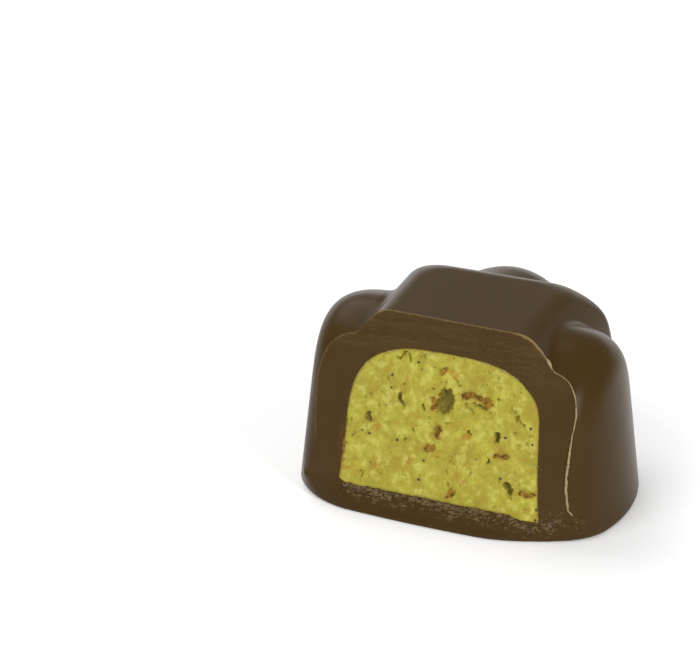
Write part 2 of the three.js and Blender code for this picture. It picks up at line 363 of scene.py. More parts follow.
def block_field(x, y, z):
    slope = (block_half_side(z - SLOPE_STEP) - block_half_side(z + SLOPE_STEP)) / (2 * SLOPE_STEP)
    flatten = 1 / np.hypot(1, slope)
    half = block_half_side(z)
    climb = share(z, BASE_BAND, HEIGHT) ** BLOCK_CORNER_POWER
    ridge = BLOCK_CORNER + (BLOCK_CORNER_TOP - BLOCK_CORNER) * climb
    sides = rounded_max((np.abs(x) - half) * flatten, (np.abs(y) - half) * flatten, ridge)
    return rounded_max(rounded_max(sides, z - HEIGHT, BLOCK_EDGE), wall_field(x, y, z), RIDGE_TRIM)


def lobe_field(out, across, x, y, z):
    """An arch on one side of the block: out is the distance from the axis towards that side."""
    spring = HEIGHT - LOBE_DROP - LOBE_WIDTH - CROWN_TILT * x
    above = np.maximum(z - spring, 0)
    radius = (np.abs(across) ** LOBE_ARCH_POWER + above ** LOBE_ARCH_POWER) ** (1 / LOBE_ARCH_POWER)
    fall = LOBE_FALL * np.maximum(np.abs(out) - LOBE_FALL_START, 0)
    flare = LOBE_FLARE * np.maximum(LOBE_FLARE_TOP - z, 0) ** 2
    spread = LOBE_SPREAD * np.maximum(spring - z, 0) + flare
    climb = share(z, spring - LOBE_PILLOW_START, spring + LOBE_WIDTH)
    pillow = LOBE_PILLOW + (LOBE_PILLOW_TOP - LOBE_PILLOW) * climb
    return rounded_max(radius - LOBE_WIDTH + fall - spread, wall_field(x, y, z), pillow)


def turned(x, y):
    """The same place in the mould's own directions."""
    c, s = math.cos(MOULD_TURN), math.sin(MOULD_TURN)
    return x * c + y * s, y * c - x * s


def lobes_field(x, y, z):
    u, v = turned(x, y)
    return np.minimum(lobe_field(u, v, u, v, z), lobe_field(v, u, u, v, z))


def mould_field(x, y, z):
    wall = wall_field(x, y, z)
    body = filled_min(block_field(*turned(x, y), z), lobes_field(x, y, z), CREASE)
    band = rounded_max(wall, z - BASE_BAND, LEDGE_EDGE)
    return np.maximum(filled_min(body, band, LEDGE_CREASE), wall)


print("the block's half side, foot and top:", block_half_side(np.array([BASE_BAND, HEIGHT])))

# %% The cut, the snapped band under it and the hollow: lengths in millimetres
CUT_TOP_Y, CUT_YAW, CUT_LEAN = -4.3, -0.09, 0.285
TWIST, TWIST_START, TWIST_EASE, TWIST_POWER = 0.46, 4.0, 6.0, 2.8
CURL, CURL_START, CURL_END, CURL_LOW, CURL_HIGH = 0.65, 7.0, 9.6, 10.5, 15.0
SWING, SWING_LOW, SWING_HIGH = 0.03, 5.0, 11.0
HEEL, HEEL_HEIGHT, LEFT_START = 0.07, 4.0, 9.0
BREAK_HEIGHT, BREAK_DIP, BREAK_DIP_X, BREAK_DIP_REACH = 2.35, 0.7, 8.8, 3.2
BREAK_STEP, BREAK_BELLY, BREAK_WIDTH = 0.2, 0.3, 11.0
BREAK_ROUNDING, BREAK_ROUNDING_TOP = 2.4, 0.05
BREAK_TOP = 2.5  # the knife's ragged lower edge stays below this
CUP_RADIUS, CUP_TAPER, CUP_TOP, CUP_FLOOR = 13.45, 0.19, 15.75, 2.45
CUP_SHOULDER, CUP_HEEL = 6.0, 0.3
CUT_SLOPE = math.hypot(1, CUT_YAW, CUT_LEAN)


def cut_y(x, z):
    """Where the knife went: a leaning plane, twisted on the right and bent at its edges."""
    plane = CUT_TOP_Y + CUT_YAW * x - CUT_LEAN * (HEIGHT - z)
    right = np.maximum(x - TWIST_START, 0)
    twist = TWIST * np.clip(1 - z / HEIGHT, 0, 1) ** TWIST_POWER * right * right / (right + TWIST_EASE)
    curl = CURL * share(z, CURL_LOW, CURL_HIGH) * soft_share(x, CURL_START, CURL_END)
    left = np.maximum(-x - LEFT_START, 0)
    bend = HEEL * np.clip(1 - z / HEEL_HEIGHT, 0, 1) - SWING * share(z, SWING_LOW, SWING_HIGH)
    return plane + twist + curl + bend * left * left


def break_height(x):
    """The line of the break under the cut, which dips at one place."""
    return BREAK_HEIGHT - BREAK_DIP * mound((x - BREAK_DIP_X) / BREAK_DIP_REACH)


def band_face_y(x, z):
    """The snapped face under the cut, which swells forwards."""
    low = 1 - share(z, 0, BREAK_HEIGHT)
    return cut_y(x, z) - (BREAK_STEP + BREAK_BELLY * low) * np.clip(1 - (x / BREAK_WIDTH) ** 2, 0, 1)


def piece_field(x, y, z):
    """The piece with its snapped band, before the cut."""
    mould = mould_field(x, y, z)
    rounding = BREAK_ROUNDING + (BREAK_ROUNDING_TOP - BREAK_ROUNDING) * share(z, 0, BREAK_HEIGHT)
    snapped = rounded_max(mould, (band_face_y(x, z) - y) / CUT_SLOPE, rounding)
    return rounded_max(np.where(z < BREAK_TOP, snapped, mould), -z, BASE_FILLET)


def cup_field(x, y, z, gap=0.0):
    """The hollow for the filling, drawn in by gap on every side."""
    side = np.hypot(x, y) - (CUP_RADIUS - CUP_TAPER * z - gap)
    shoulder = rounded_max(side, z - (CUP_TOP - gap), CUP_SHOULDER)
    floor_height = CUP_FLOOR - BREAK_HEIGHT + break_height(x)
    return rounded_max(shoulder, floor_height + gap - z, CUP_HEEL)


print("the cut leans back by", round(math.degrees(math.atan(CUT_LEAN)), 1), "degrees")

# %% [markdown]
# ## From fields to meshes
#
# The piece can be seen whole from its own axis, so its skin is found by sending rays out from the
# axis and halving each ray until it meets the surface. Rows and columns of such points make a
# closed grid of quads, with the columns closest where the grooves are. The knife is another
# closed grid: everything in front of the cut. A Boolean modifier then carves one with the other,
# and keeps the cut's edge crisp, which a remeshed volume would not.

# %% Closed skins
FAR = 24.0  # beyond every surface, in millimetres from the axis
STRAIGHT_UP = math.pi / 2


def last_inside(distance_at, shape, halvings=36):
    """How far out a field is still negative, found by halving, for many places at once."""
    inside = np.zeros(shape)
    outside = inside + FAR
    for _ in range(halvings):
        middle = (inside + outside) / 2
        within = distance_at(middle) < 0
        inside = np.where(within, middle, inside)
        outside = np.where(within, outside, middle)
    return inside


def reach(field, azimuth, origin, tilt):
    """How far rays that start on the axis go before they leave the field."""
    def along_ray(t):
        r = t * np.cos(tilt)
        return field(r * np.cos(azimuth), r * np.sin(azimuth), origin + t * np.sin(tilt))
    return last_inside(along_ray, np.broadcast(azimuth, origin, tilt).shape)


def skin(field, rings, azimuths):
    """Points and faces of a closed skin. Each ring is the height and the tilt of its rays."""
    origin, tilt = [np.array(v)[:, None] for v in zip(*rings)]
    t = reach(field, azimuths[None, :], origin, tilt)
    r = t * np.cos(tilt)
    grid = np.stack([r * np.cos(azimuths), r * np.sin(azimuths), origin + t * np.sin(tilt)], -1)
    rows, columns = grid.shape[:2]
    foot = rings[0][0] - reach(field, 0.0, rings[0][0], -STRAIGHT_UP)
    crown = rings[-1][0] + reach(field, 0.0, rings[-1][0], STRAIGHT_UP)
    points = np.vstack([grid.reshape(-1, 3), [(0, 0, foot), (0, 0, crown)]])
    here = np.arange(columns)
    after = (here + 1) % columns
    base = (np.arange(rows - 1) * columns)[:, None]
    quads = np.stack([base + here, base + after, base + columns + after, base + columns + here], -1)
    last = (rows - 1) * columns
    bottom = [(rows * columns, int(b), int(a)) for a, b in zip(here, after)]
    top = [(rows * columns + 1, last + int(a), last + int(b)) for a, b in zip(here, after)]
    return points, quads.reshape(-1, 4).tolist() + bottom + top


def piece_from(name, points, faces, slot_of_faces=0):
    """A mesh object from points in millimetres."""
    mesh = bpy.data.meshes.new(name)
    mesh.from_pydata((np.asarray(points) * MM).tolist(), [], faces)
    mesh.polygons.foreach_set("material_index", [slot_of_faces] * len(mesh.polygons))
    return add_object(name, mesh)


print("skins are found to within", FAR / 2 ** 36, "mm")

# %% A knife: everything in front of a surface
def knife(name, front, x_range, low, high, step):
    """A closed block whose back is y = front(x, z). Its lower edge may rise and fall with x."""
    xs = np.linspace(*x_range, round((x_range[1] - x_range[0]) / step) + 1)
    rows = round((high - np.max(low)) / step) + 1
    lows = np.broadcast_to(low, xs.shape)
    z = lows[None, :] + (high - lows[None, :]) * np.linspace(0, 1, rows)[:, None]
    x = np.broadcast_to(xs, z.shape)
    near = np.stack([x, front(x, z), z], -1)
    columns = len(xs)
    at = np.arange(rows * columns).reshape(rows, columns)
    quads = np.stack([at[:-1, :-1], at[1:, :-1], at[1:, 1:], at[:-1, 1:]], -1).reshape(-1, 4).tolist()
    rim = [*at[0, :], *at[1:, -1], *at[-1, -2::-1], *at[-2:0:-1, 0]]
    flat = near.reshape(-1, 3)
    far = flat[rim] * (1, 0, 1) - (0, 2 * FAR, 0)
    count = len(rim)
    edge = [(int(rim[i]), int(rim[(i + 1) % count])) for i in range(count)]
    back = len(flat)
    sides = [(a, b, back + (i + 1) % count, back + i) for i, (a, b) in enumerate(edge)]
    cap = [list(range(back, back + count))]
    return piece_from(name, np.vstack([flat, far]), quads + sides + cap, slot_of_faces=1)


print("a knife reaches", 2 * FAR, "mm")

# %% Carving, and settling a mesh
SHARP_ANGLE = math.radians(38)


def settle(piece):
    """Turns what a piece's modifiers give into its plain mesh, and takes the modifiers off."""
    evaluated = piece.evaluated_get(bpy.context.evaluated_depsgraph_get())
    mesh = bpy.data.meshes.new_from_object(evaluated)
    mesh.name = piece.name
    piece.modifiers.clear()
    piece.data = mesh


def carve(piece, *cutters):
    """Takes the cutters out of a piece, and keeps the edges that they leave sharp."""
    for cutter in cutters:
        modifier = piece.modifiers.new("carve", "BOOLEAN")
        modifier.operation = "DIFFERENCE"
        modifier.solver = "MANIFOLD"
        modifier.object = cutter
    settle(piece)
    for cutter in cutters:
        bpy.data.objects.remove(cutter)
    piece.data.shade_smooth()
    piece.data.set_sharp_from_angle(angle=SHARP_ANGLE)


print("edges stay sharp from", round(math.degrees(SHARP_ANGLE)), "degrees")


# %% What is known at each point, and noise
def places_of(piece):
    """The points of a piece's mesh in millimetres, as three arrays."""
    flat = np.empty(3 * len(piece.data.vertices), np.float32)
    piece.data.vertices.foreach_get("co", flat)
    return (flat.reshape(-1, 3) / MM).astype(float).T


def paint(piece, **marks):
    """Stores numbers at each point of a piece, for its finish to read."""
    for name, values in marks.items():
        stored = piece.data.attributes.new(name, "FLOAT", "POINT").data
        stored.foreach_set("value", values.astype(np.float32))


def grain(x, z, size, seed):
    """Smooth noise from about -1 to 1, with swells about size millimetres wide."""
    pairs = zip((x / size).ravel().tolist(), (z / size).ravel().tolist())
    return np.array([noise.noise(Vector((a, seed, b))) for a, b in pairs]).reshape(np.shape(x))


def swells(x, z, *layers):
    """Noise in layers. Each is its depth, the size of its swells and its seed."""
    return sum(depth * grain(x, z, size, seed) for depth, size, seed in layers)


print("noise at one place:", grain(np.array([1.5]), np.array([2.5]), 1.0, 3.0))

# %% [markdown]
# ## The chocolate shell
#
# The mould leaves smooth walls. The knife leaves a duller face with fine slanting scratches. They
# could be a bump in the material alone, but here they are pressed into the knife's grid, so they
# also catch the light along the edge. The base was not cut but snapped: the knife's lower edge is
# ragged, and the band below it swells forward and is rough near the break.

# %% Rows and columns of the moulded skin
COLUMNS_PER_EIGHTH = 52
ARCH_COLUMNS = 0.3  # an arch's plain face gets this share of them
ARCH_ENDS, RIDGE_AT = 20.0, 45.0  # degrees from the middle of an arch


def mould_azimuths():
    """Columns all round the mould, closest from the arches' edges to the ridges."""
    counted = np.arange(COLUMNS_PER_EIGHTH) / COLUMNS_PER_EIGHTH
    eighth = np.interp(counted, [0, ARCH_COLUMNS, 1], [0, ARCH_ENDS, RIDGE_AT])
    quarter = np.concatenate([eighth, 2 * RIDGE_AT - np.append(RIDGE_AT, eighth[:0:-1])])
    return MOULD_TURN + np.radians(np.concatenate([quarter + turn for turn in (0, 90, 180, 270)]))


def fan(origin, tilts):
    """Rings from one height on the axis, with their rays tilted by so many degrees."""
    return [(origin, math.radians(t)) for t in tilts]


def levels(*heights):
    """Rings with level rays, one at each height."""
    return [(float(z), 0.0) for z in np.concatenate(heights)]


MOULD_RINGS = (
    fan(0.8, [-30, -10, -4, -3.3, -3, -2.7, -2.3, -1.8, -1.2, -0.6])
    + levels(np.arange(0.8, 2.2, 0.2), np.arange(2.2, 3.1, 0.05), np.arange(3.2, 12.9, 0.25))
    + fan(13, [*np.arange(0, 15, 0.9), *np.arange(15, 42, 0.45), 43, 45, 48, 53, 60, 70])
)
moulded = piece_from("moulded_chocolate", *skin(piece_field, MOULD_RINGS, mould_azimuths()))
print("moulded skin:", len(moulded.data.polygons), "faces")

# %% The rough top of the snapped band
def roughen_band(piece):
    """Pushes the snapped face in and out, most of all just below the break."""
    x, y, z = places_of(piece)
    near_face = 1 - share(np.abs(y - band_face_y(x, z)), 0.05, 0.5)
    mask = near_face * soft_share(z, 0.9, 2.3) * (z < BREAK_TOP)
    rough_y = y + mask * swells(x, z, (0.10, 0.9, 3.0), (0.07, 0.35, 4.0))
    piece.data.vertices.foreach_set("co", (np.stack([x, rough_y, z], 1) * MM).ravel())
    print("points of the band that moved:", np.count_nonzero(mask))


roughen_band(moulded)

# %% The scratched cut
SCRATCH_TURN = math.radians(-14)
SCRATCH_DEPTH, SCRATCH_DEPTH_TOP = 0.003, 0.016
SCRATCH_STRETCH, GOUGE_STRETCH = 9, 5
DRAG = 0.04  # how far the knife pulled slow waves into the face
RAGGED_DIP = 0.25


def scratched_cut(x, z):
    """The knife's surface, with scratches that are deepest near the top."""
    along = x * math.cos(SCRATCH_TURN) + z * math.sin(SCRATCH_TURN)
    across = z * math.cos(SCRATCH_TURN) - x * math.sin(SCRATCH_TURN)
    fine_lines = grain(along / SCRATCH_STRETCH, across, 0.16, 7.0)
    scratches = fine_lines + 0.6 * grain(along / GOUGE_STRETCH, across, 0.4, 8.0)
    drag = DRAG * grain(x, z, 2.4, 9.0)
    top = soft_share(z, 12, 16)
    return cut_y(x, z) + drag + (SCRATCH_DEPTH + SCRATCH_DEPTH_TOP * top) * scratches


def ragged_low(x):
    """The break's ragged line. It only ever dips, so it never opens the hollow from below."""
    ragged = 0.5 * np.abs(grain(x, 0 * x, 1.1, 11.0)) + 0.25 * np.abs(grain(x, 0 * x, 0.33, 12.0))
    return break_height(x) - RAGGED_DIP * ragged


CUT_X = (-15.0, 15.0)
CUT_STEP = 0.15
cut_columns = np.linspace(*CUT_X, round((CUT_X[1] - CUT_X[0]) / CUT_STEP) + 1)
cutter = knife("cutter", scratched_cut, CUT_X, ragged_low(cut_columns), HEIGHT + 1, CUT_STEP)
print("knife:", len(cutter.data.polygons), "faces")

# %% The hollow, and the carving
CUP_RINGS = (
    fan(4, [-60, -30, -12, -9, -7, -5, -3, 0])
    + levels(np.arange(4.5, 10, 0.5))
    + fan(10, range(0, 84, 3))
)


def cup_piece(name, columns, gap=0.0, slot_of_faces=0):
    """A closed block with the form of the hollow."""
    azimuths = np.linspace(0, 2 * math.pi, columns, endpoint=False)
    points, faces = skin(lambda x, y, z: cup_field(x, y, z, gap), CUP_RINGS, azimuths)
    return piece_from(name, points, faces, slot_of_faces)


hollow = cup_piece("hollow", 240, slot_of_faces=1)
for slot_holder in (moulded, cutter, hollow):
    slot_holder.data.materials.append(None)
    slot_holder.data.materials.append(None)
carve(moulded, hollow, cutter)
print("carved shell:", len(moulded.data.polygons), "faces")

# %% What the finishes need to know about each point of the shell
def outline_distance(x, y, z):
    """Distance to the edge where the cut meets the moulded surface, seen from either side."""
    return np.maximum(-mould_field(x, y, z), (y - cut_y(x, z)) / CUT_SLOPE)


def stain(x, z):
    """A brown oily mark that lies across the filling's left edge."""
    return soft_share(np.hypot((x + 10.25) / 0.42, (z - 6.2) / 1.9), 1.2, 0.4)


def paint_shell(x, y, z):
    """Edges wear most on top, where the knife smeared them, and on the left. Their pale tan is also a
    painted highlight where a rounded edge would catch the light.
    """
    on_top = soft_share(z, 16.5, 17.8)
    smear_and_bevel_light = soft_share(x, 5.0, 6.5) * soft_share(z, 15.8, 16.6)
    left_side = soft_share(x, -8.5, -10.5) * soft_share(z, 5.0, 8.0)
    facing = 1 - share(np.abs(y - band_face_y(x, z)), 0.1, 0.6)
    below = break_height(x) - z
    near_break = soft_share(below, 1.7, 0.2) * soft_share(below, -0.3, -0.1)
    paint(
        moulded,
        edge=outline_distance(x, y, z),
        stain=stain(x, z) * (y < cut_y(x, z) + 0.3),
        # wear and painted highlight: pale tan along the cut's edge, most on top, at the right smear and on
        # the left
        wear=0.40 * on_top + 0.30 * smear_and_bevel_light + 0.30 * left_side,
        reach=0.07 + 0.06 * on_top + 0.10 * smear_and_bevel_light,
        rim=np.maximum(cup_field(x, y, z), 0),
        streaky=0.05 + 0.95 * soft_share(z, 13.0, 16.0),
        snapped=facing * near_break * soft_share(x, -11.5, -8.0),
    )


paint_shell(*places_of(moulded))
print("points painted on the shell:", len(moulded.data.vertices))

# %% [markdown]
# ## Moulded and cut chocolate
#
# Both are the same dark chocolate. From the mould it is satin: a soft gloss with a faint
# unevenness. Where the knife went it is duller, a little paler and streaked along the scratches,
# and brown and oily in a thin rim round the filling. Its edges are pale tan where they crumbled,
# and the same tan is a painted highlight where a rounded edge would catch the light. A photo
# of chocolate could be wrapped round the piece, but it would stretch over the grooves. Noise that
# is read at each point's own place does not, and the painted marks tell it where to change.

# %% Moulded chocolate
# pale tan of crumbled edges, also used as a painted highlight along the cut's edge
TAN_WEAR_AND_HIGHLIGHT = colour(150, 124, 80)
FLECKED = colour(124, 106, 70)


def moulded_chocolate():
    finish = Finish("moulded_chocolate", IOR=1.46, Specular_IOR_Level=0.08)
    clouds = finish.noise(6.0, 1)
    fine = finish.noise(0.25, 3)
    body = mixed(clouds, colour(65, 48, 21), colour(73, 55, 27))
    edge = finish.attribute("edge")
    # wear and painted highlight: the moulded side of the cut's edge turns pale tan
    worn_and_lit_edge = finish.attribute("wear") * ramp(edge + 0.10 * fine, 0.14, 0.05)
    flattened = {"Vector": finish.place, "Scale": (0.4, 1, 1)}
    flat_place = finish.node("ShaderNodeMapping", {}, flattened)
    flecks = ramp(finish.noise(0.28, 4, 0.6, place=flat_place), 0.54, 0.70)
    snapped = finish.attribute("snapped")
    crumbly = mixed(snapped * flecks, body, FLECKED)
    finish.drive("Base Color", mixed(worn_and_lit_edge, crumbly, TAN_WEAR_AND_HIGHLIGHT))
    finish.drive("Roughness", 0.28 + 0.3 * snapped)
    finish.relief(0.3 * finish.noise(5.0, 0) + 0.6 * (snapped * finish.noise(0.35, 4)), 0.05)
    return finish.material


moulded.data.materials[0] = moulded_chocolate()
print("moulded chocolate: satin")


# %% Cut chocolate
def cut_chocolate():
    finish = Finish("cut_chocolate", IOR=1.46, Specular_IOR_Level=0.1)
    stretched = {"Vector": finish.place, "Rotation": (0, -SCRATCH_TURN, 0), "Scale": (0.03, 1, 1)}
    along_scratches = finish.node("ShaderNodeMapping", {}, stretched)
    streaks = finish.noise(0.08, 2, place=along_scratches)
    soft_streaks = finish.noise(0.6, 2, place=along_scratches)
    streaky = finish.attribute("streaky")
    body = mixed(finish.noise(2.5, 3), colour(67, 50, 24), colour(75, 58, 30))
    shaded = mixed(0.6 * (streaky * ramp(soft_streaks, 0.42, 0.62)), body, colour(80, 62, 34))
    streaked = mixed(0.35 * (streaky * ramp(streaks, 0.5, 0.7)), shaded, colour(104, 84, 52))
    fine = finish.noise(0.22, 3)
    near_edge = ramp(finish.attribute("edge") + 0.22 * fine - finish.attribute("reach"), 0.12, 0.02)
    # wear and painted highlight: the cut face turns pale tan near its edge
    worn_and_lit_edge = finish.attribute("wear") * near_edge
    oily = ramp(finish.attribute("rim") + 0.45 * finish.noise(0.9, 2), 0.42, 0.16)
    with_rim = mixed(0.55 * oily, streaked, colour(88, 60, 26))
    flecks = ramp(finish.noise(0.28, 4, 0.6), 0.50, 0.66)
    crumbly = mixed(finish.attribute("snapped") * flecks, with_rim, FLECKED)
    stained = mixed(0.6 * finish.attribute("stain"), crumbly, colour(92, 58, 22))
    finish.drive("Base Color", mixed(worn_and_lit_edge, stained, TAN_WEAR_AND_HIGHLIGHT))
    finish.drive("Roughness", ramp(fine, 0.3, 0.7, 0.46, 0.58))
    finish.relief(streaky * streaks + 0.25 * fine, 0.02)
    return finish.material


moulded.data.materials[1] = cut_chocolate()
print("cut chocolate: dull, streaked")

# %% [markdown]
# ## The paste
#
# The filling is a soft, airy paste with a crumbly face where it was cut. The crumb could be a bump
# in its material, but pits that deep have to shade each other, so they are in the mesh. Its block
# is the same hollow, drawn in by a hair, and its face is a fine grid: slow swells, lumps, torn
# pits and pores. The larger pits and the flakes are where the solids have them. How deep each
# point lies, and how near a toasted flake it is, is stored there for the finish to colour by.
# The depth also darkens the paste there, as painted shade in the pits and pores.

# %% The pits and flakes of its torn face
PITS = [  # x, height, half width, half height, depth, turn in degrees
    (-0.55, 11.45, 0.72, 1.15, 0.9, -16),
    (-4.85, 10.8, 0.26, 0.62, 0.5, 28),
    (4.7, 9.1, 0.36, 0.58, 0.6, 22),
    (6.35, 4.5, 0.42, 0.62, 0.7, 30),
    (-7.85, 8.7, 0.22, 0.45, 0.4, 40),
    (6.6, 11.1, 0.34, 0.26, 0.35, 10),
    (6.14, 11.7, 0.16, 0.34, 0.25, 35),
    (7.05, 10.75, 0.3, 0.18, 0.25, -30),
    (-2.55, 10.6, 0.16, 0.5, 0.3, 8),
    (1.82, 11.14, 0.4, 0.16, 0.2, -12),
    (4.02, 6.94, 0.16, 0.24, 0.25, 0),
    (-0.08, 9.54, 0.3, 0.16, 0.2, 20),
    (2.1, 9.2, 0.22, 0.24, 0.3, 0),
    (6.0, 13.2, 0.26, 0.14, 0.2, -30),
    (-9.4, 8.3, 0.14, 0.26, 0.2, 20),
    (-7.66, 10.82, 0.14, 0.2, 0.2, 0),
    (-5.2, 14.75, 0.7, 0.13, 0.3, 42),
    (-4.4, 14.6, 0.14, 0.5, 0.25, 25),
    (-3.2, 15.1, 0.45, 0.12, 0.2, -20),
    (2.7, 11.6, 0.9, 0.2, 0.28, -8),
]
FLAKES = [  # x, height, half length, half width, rise, turn in degrees
    (-1.5, 11.1, 0.95, 0.34, 0.35, 70),
    (2.9, 12.3, 1.1, 0.34, 0.35, -12),
    (-0.85, 8.6, 0.75, 0.3, 0.25, 105),
    (-1.6, 7.0, 0.5, 0.36, 0.25, 20),
    (8.2, 4.5, 0.85, 0.3, 0.3, 5),
    (5.3, 7.7, 0.8, 0.55, 0.2, 0),
    (1.5, 12.35, 0.5, 0.26, 0.2, 10),
    (3.7, 11.9, 0.45, 0.28, 0.25, 40),
    (-0.84, 14.09, 0.3, 0.22, 0.2, 60),
    (0.35, 14.05, 0.6, 0.26, 0.1, -20),
    (-3.36, 5.69, 0.45, 0.26, 0.12, 70),
    (-9.7, 4.09, 0.65, 0.4, 0.12, -25),
    (-6.72, 4.36, 0.45, 0.24, 0.1, 15),
    (0.84, 3.29, 0.42, 0.26, 0.15, 60),
    (1.6, 4.6, 0.6, 0.26, 0.1, -60),
    (-4.6, 12.6, 0.5, 0.22, 0.08, 60),
    (-7.1, 8.2, 0.6, 0.22, 0.08, -70),
    (1.8, 8.7, 0.55, 0.25, 0.08, 20),
]
PORES, PORE_SEED = 420, 5
PASTE_GAP = 0.02  # between the paste and the hollow
PASTE_STEP = 0.085  # between the points of the torn face
PASTE_SET_BACK = 0.05
print("pits:", len(PITS), "flakes:", len(FLAKES))


# %% How the torn face is shaped
def oval(x, z, middle_x, middle_z, half_x, half_z, turn):
    """Distance from an oval's middle, as a share of its size."""
    c, s = math.cos(math.radians(turn)), math.sin(math.radians(turn))
    along = ((x - middle_x) * c + (z - middle_z) * s) / half_x
    sideways = ((z - middle_z) * c - (x - middle_x) * s) / half_z
    return np.hypot(along, sideways)


def warped(x, z):
    """Moves a place a little, so that what is drawn round it has an uneven outline."""
    coarse_x, coarse_z = 0.30 * grain(x, z, 0.8, 25.0), 0.30 * grain(x, z, 0.8, 26.0)
    fine_x, fine_z = 0.20 * grain(x, z, 0.3, 27.0), 0.20 * grain(x, z, 0.3, 28.0)
    return x + coarse_x + fine_x, z + coarse_z + fine_z


def pores(x, z):
    """Small open bubbles, scattered by chance."""
    draw = np.random.default_rng(PORE_SEED)
    relief = 0 * x
    for _ in range(PORES):
        pore_x, pore_z = draw.uniform(-10.5, 10), draw.uniform(2.2, 16)
        radius = 0.07 + 0.17 * draw.random() ** 3
        slender, turn = draw.uniform(0.5, 1.0), draw.uniform(0, 180)
        near = (np.abs(x - pore_x) < 2 * radius) & (np.abs(z - pore_z) < 2 * radius)
        distance = oval(x[near], z[near], pore_x, pore_z, radius, slender * radius, turn)
        relief[near] += radius * mound(distance)
    return relief


def paste_relief(x, z):
    """How far the torn face lies behind the knife's cut, in millimetres."""
    relief = swells(x, z, (0.10, 1.7, 21.0), (0.09, 0.75, 22.0))
    relief += 0.08 * np.abs(grain(x, z, 0.45, 23.0)) + 0.05 * grain(x, z, 0.22, 24.0)
    u, v = warped(x, z)
    for pit_x, pit_z, half_x, half_z, depth, turn in PITS:
        relief += depth * soft_share(oval(u, v, pit_x, pit_z, half_x, half_z, turn), 1.35, 0.55)
    for flake_x, flake_z, length, width, proud, turn in FLAKES:
        relief -= 0.4 * proud * mound(oval(u, v, flake_x, flake_z, length, width, turn) / 1.3)
    return relief + pores(u, v)


def paste_front(x, z):
    """The torn face itself, a little behind the shell's cut."""
    return cut_y(x, z) + PASTE_SET_BACK + paste_relief(x, z)


print("pores:", PORES)

# %% Pressed in the hollow, then cut
paste = cup_piece("paste", 300, PASTE_GAP)
carve(paste, knife("paste_knife", paste_front, (-12.0, 12.0), 1.2, 17.0, PASTE_STEP))


def paint_paste(x, y, z):
    u, v = warped(x, z)
    toasted = 0 * x
    for flake_x, flake_z, length, width, _, turn in FLAKES:
        near = soft_share(oval(u, v, flake_x, flake_z, length, width, turn), 1.5, 0.7)
        toasted = np.maximum(toasted, near)
    depth = y - cut_y(x, z)
    paint(paste, depth=depth, rim=-cup_field(x, y, z), toasted=toasted, stain=stain(u, v))


paint_paste(*places_of(paste))
print("paste:", len(paste.data.polygons), "faces")


# %% Its finish
def nut_paste():
    depth = (0.5 * MM, 0.45 * MM, 0.1 * MM)  # how far red, green and blue light soak in
    soaked = {"Subsurface_Weight": 0.12, "Subsurface_Radius": depth, "Subsurface_Scale": 1.0}
    finish = Finish("pistachio_coloured_paste", Roughness=0.62, Specular_IOR_Level=0.35, **soaked)
    broad = finish.noise(2.2, 3, 0.6)
    lumps = finish.noise(0.9, 5, 0.55)
    specks = finish.noise(0.14, 2)
    body = mixed(ramp(broad, 0.36, 0.64), colour(176, 167, 55), colour(163, 151, 48))
    mottled = mixed(0.45 * ramp(lumps, 0.50, 0.66), body, colour(152, 136, 40))
    light = mixed(0.65 * ramp(lumps, 0.50, 0.34), mottled, colour(200, 192, 92))
    amber = ramp(finish.noise(0.9, 3, 0.6, distortion=0.6), 0.57, 0.68)
    tinted = mixed(0.5 * amber, light, colour(172, 136, 34))
    browned = finish.attribute("toasted") * ramp(finish.noise(0.5, 3, 0.6), 0.32, 0.60)
    flaked = mixed(0.7 * browned, tinted, colour(164, 116, 30))
    # painted shade: the paste darkens where it lies deep behind the cut, in pits and pores
    deep = ramp(finish.attribute("depth") + 0.10 * lumps, 0.20, 0.46)
    pit_shaded = mixed(0.75 * deep, flaked, colour(112, 96, 30))
    oily = ramp(finish.attribute("rim") + 0.6 * lumps, 0.56, 0.26)
    rimmed = mixed(0.7 * oily, pit_shaded, colour(128, 98, 36))
    stained = mixed(0.8 * finish.attribute("stain"), rimmed, colour(112, 70, 24))
    finish.drive("Base Color", stained)
    finish.relief(0.6 * lumps + 0.4 * specks, 0.07)
    return finish.material


paste.data.materials.append(nut_paste())
print("paste: dull, mottled, browned by its flakes")

# %% [markdown]
# ## Crumbs, flakes and specks
#
# The knife left crumbs along its edges, and the paste holds toasted flakes and dark specks. Each
# could be modelled and placed by hand, but they are many and alike: lumps, each with its own size
# and turn. So a Geometry Nodes recipe puts one ball on each point of a cloud, stretches and turns
# it as the point says, makes it uneven with noise and joins them all. The recipe is built once,
# and each kind of thing is then one cloud.

